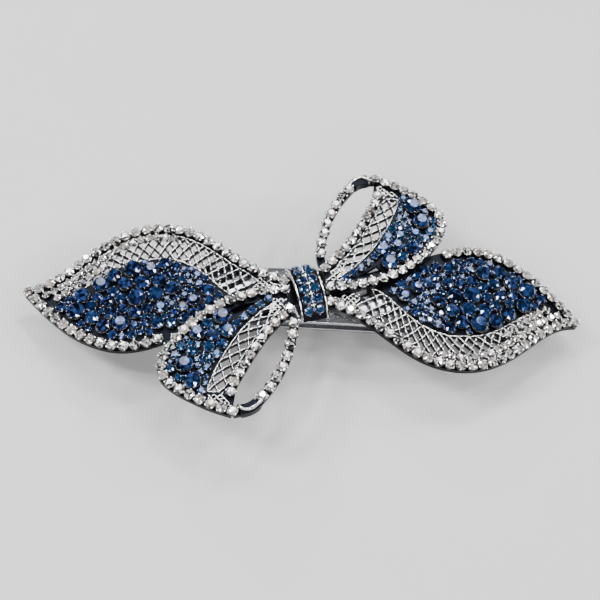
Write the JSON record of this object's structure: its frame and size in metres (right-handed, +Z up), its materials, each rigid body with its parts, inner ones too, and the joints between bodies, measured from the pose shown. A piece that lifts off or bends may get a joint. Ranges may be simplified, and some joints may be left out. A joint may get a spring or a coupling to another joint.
{
  "type": "rhinestone bow hair clip",
  "caption": "Stone-set openwork bow with leaf-shaped tails, ribbon loops and a knot, on an arched snap barrette whose arm swings open and latches.",
  "frame": {"origin": "middle of the clip at the level it stands on", "axes": "+X along the bow towards the latch end, +Y towards the rear loop, +Z up out of the bow's face"},
  "size_m": [0.107, 0.055, 0.0146],
  "materials": {
    "plated_metal": "bright plating over a casting, darkened in its recesses",
    "clasp_steel": "polished plated steel",
    "spring_steel": "bright rolled spring steel",
    "solder": "dull solder",
    "clear_crystal": "foil-backed clear cut glass",
    "deep_blue_glass": "foil-backed dark blue cut glass",
    "bright_blue_glass": "foil-backed blue cut glass"
  },
  "bodies": {
    "bow": {"base_plate": "clasp_steel", "hinge_pin": "clasp_steel", "latch_rivet": "clasp_steel", "latch_bracket": "spring_steel", "knot_band": "plated_metal", "knot_stones": "deep_blue_glass", "right_tail_frame": "plated_metal", "right_loop_frame": "plated_metal", "right_loop_band": "plated_metal", "right_loop_solder_pad": "solder", "right_tail_rim_stones": "clear_crystal", "right_tail_inner_stones": "clear_crystal", "right_loop_rim_stones": "clear_crystal", "right_loop_band_stones": "clear_crystal", "right_tail_large_blue_stones": "deep_blue_glass", "right_loop_large_blue_stones": "deep_blue_glass", "right_tail_small_blue_stones": "bright_blue_glass", "right_loop_small_blue_stones": "bright_blue_glass", "left_tail_frame": "plated_metal", "left_loop_frame": "plated_metal", "left_loop_band": "plated_metal", "left_loop_solder_pad": "solder", "left_tail_rim_stones": "clear_crystal", "left_tail_inner_stones": "clear_crystal", "left_loop_rim_stones": "clear_crystal", "left_loop_band_stones": "clear_crystal", "left_tail_large_blue_stones": "deep_blue_glass", "left_loop_large_blue_stones": "deep_blue_glass", "left_tail_small_blue_stones": "bright_blue_glass", "left_loop_small_blue_stones": "bright_blue_glass"},
    "arm": {"clasp_arm": "clasp_steel"},
    "front_tab": {"latch_tab_front": "spring_steel"},
    "rear_tab": {"latch_tab_rear": "spring_steel"},
    "spring": {"tension_spring": "spring_steel"}
  },
  "joints": [
    {"name": "arm_hinge", "type": "hinge", "parent": "bow", "child": "arm", "pos_m": [-0.037, 0, 0.0018], "axis": [0, 1, 0], "range_deg": [0, 100]},
    {"name": "front_tab_squeeze", "type": "hinge", "parent": "bow", "child": "front_tab", "pos_m": [0.03525, -0.0019, 0.00555], "axis": [1, 0, 0], "range_deg": [0, 9], "stiffness_Nm_per_rad": 0.02},
    {"name": "rear_tab_squeeze", "type": "hinge", "parent": "bow", "child": "rear_tab", "pos_m": [0.03525, 0.0019, 0.00555], "axis": [-1, 0, 0], "range_deg": [0, 9], "stiffness_Nm_per_rad": 0.02},
    {"name": "strip_flex", "type": "slide", "parent": "bow", "child": "spring", "axis": [0, 0, 1], "range_m": [0, 0.0006], "stiffness_N_per_m": 1500, "deforming": ["tension_spring"]}
  ]
}
